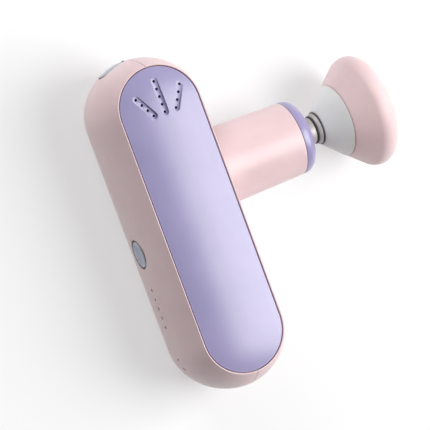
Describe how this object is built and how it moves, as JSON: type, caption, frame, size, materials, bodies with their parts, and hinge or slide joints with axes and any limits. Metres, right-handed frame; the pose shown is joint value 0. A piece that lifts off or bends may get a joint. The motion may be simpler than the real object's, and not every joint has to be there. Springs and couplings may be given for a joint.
{
  "type": "massage gun",
  "caption": "Pocket massage gun: a capsule handle with a side barrel and a soft push-on head, driven in and out by a motor, crank and plunger.",
  "frame": {"origin": "centre of the back plate's flat outer face, on which the gun lies", "axes": "+Z out of the front plate, +X along the barrel towards the massage head, +Y along the handle towards the vent end"},
  "size_m": [0.1269, 0.1448, 0.0491],
  "materials": {
    "pink_shell": "satin moulded plastic",
    "lavender": "satin lacquered plastic",
    "pink_pad": "soft matte silicone skin over foam",
    "grey_plastic": "fine matte moulded plastic",
    "silver": "turned and bead-blasted",
    "button_silver": "spun satin face",
    "dark_plastic": "matte",
    "dark_rubber": "matte",
    "clear_lens": "smoked light pipe",
    "steel": "machined",
    "brass": "machined",
    "black_nylon": "glass-filled nylon",
    "board_green": "solder mask",
    "cell_wrap": "shrink-wrapped steel can"
  },
  "bodies": {
    "housing": {"rear_shell": "pink_shell", "front_shell": "pink_shell", "side_plate_front": "lavender", "side_plate_back": "lavender", "nose_ring": "lavender", "nose_seal": "dark_rubber", "guide_bush": "brass", "damper_ring_1": "dark_rubber", "damper_ring_2": "dark_rubber", "motor_can": "steel", "motor_bearing_lower": "steel", "motor_bearing_upper": "steel", "drive_frame": "black_nylon", "battery_cell_1": "cell_wrap", "battery_cell_2": "cell_wrap", "battery_holder": "black_nylon", "control_board": "board_green", "side_switch": "dark_plastic", "side_board": "board_green", "top_switch": "dark_plastic", "top_board": "board_green", "usb_socket": "steel", "side_button_bezel": "dark_plastic", "top_button_bezel": "dark_plastic", "led_lens_1": "clear_lens", "led_lens_2": "clear_lens", "led_lens_3": "clear_lens", "led_lens_4": "clear_lens", "led_lens_5": "clear_lens", "shell_screw_1": "steel", "shell_screw_2": "steel", "shell_screw_3": "steel", "shell_screw_4": "steel", "shell_screw_5": "steel", "shell_screw_6": "steel", "shell_screw_7": "steel", "shell_screw_8": "steel"},
    "crank": {"motor_rotor": "steel", "eccentric": "brass"},
    "plunger_unit": {"plunger": "silver", "wrist_pin": "steel"},
    "rod": {"connecting_rod": "black_nylon", "crank_bearing": "steel"},
    "massage_head": {"head_stem": "silver", "stem_oring": "dark_rubber", "stem_ring_rear": "dark_rubber", "stem_ring_front": "dark_rubber", "head_cone": "grey_plastic", "head_pad": "pink_pad"},
    "side_button": {"side_button": "button_silver"},
    "top_button": {"top_button": "button_silver"}
  },
  "joints": [
    {"name": "motor_spin", "type": "hinge", "parent": "housing", "child": "crank", "pos_m": [0, 0.0233, 0.02455], "axis": [0, 1, 0], "continuous": true},
    {"name": "plunger_slide", "type": "slide", "parent": "housing", "child": "plunger_unit", "axis": [1, 0, 0], "range_m": [0, 0.007]},
    {"name": "rod_swing", "type": "hinge", "parent": "plunger_unit", "child": "rod", "pos_m": [0.0225, 0.0163, 0.02455], "axis": [0, 1, 0], "range_deg": [-7.7, 7.7]},
    {"name": "head_pull", "type": "slide", "parent": "plunger_unit", "child": "massage_head", "axis": [1, 0, 0], "range_m": [0, 0.018]},
    {"name": "side_button_press", "type": "slide", "parent": "housing", "child": "side_button", "axis": [1, 0, 0], "range_m": [0, 0.0006], "stiffness_N_per_m": 600, "springref_m": -0.001},
    {"name": "top_button_press", "type": "slide", "parent": "housing", "child": "top_button", "axis": [0.2823, -0.9593, 0], "range_m": [0, 0.0006], "stiffness_N_per_m": 600, "springref_m": -0.001}
  ]
}
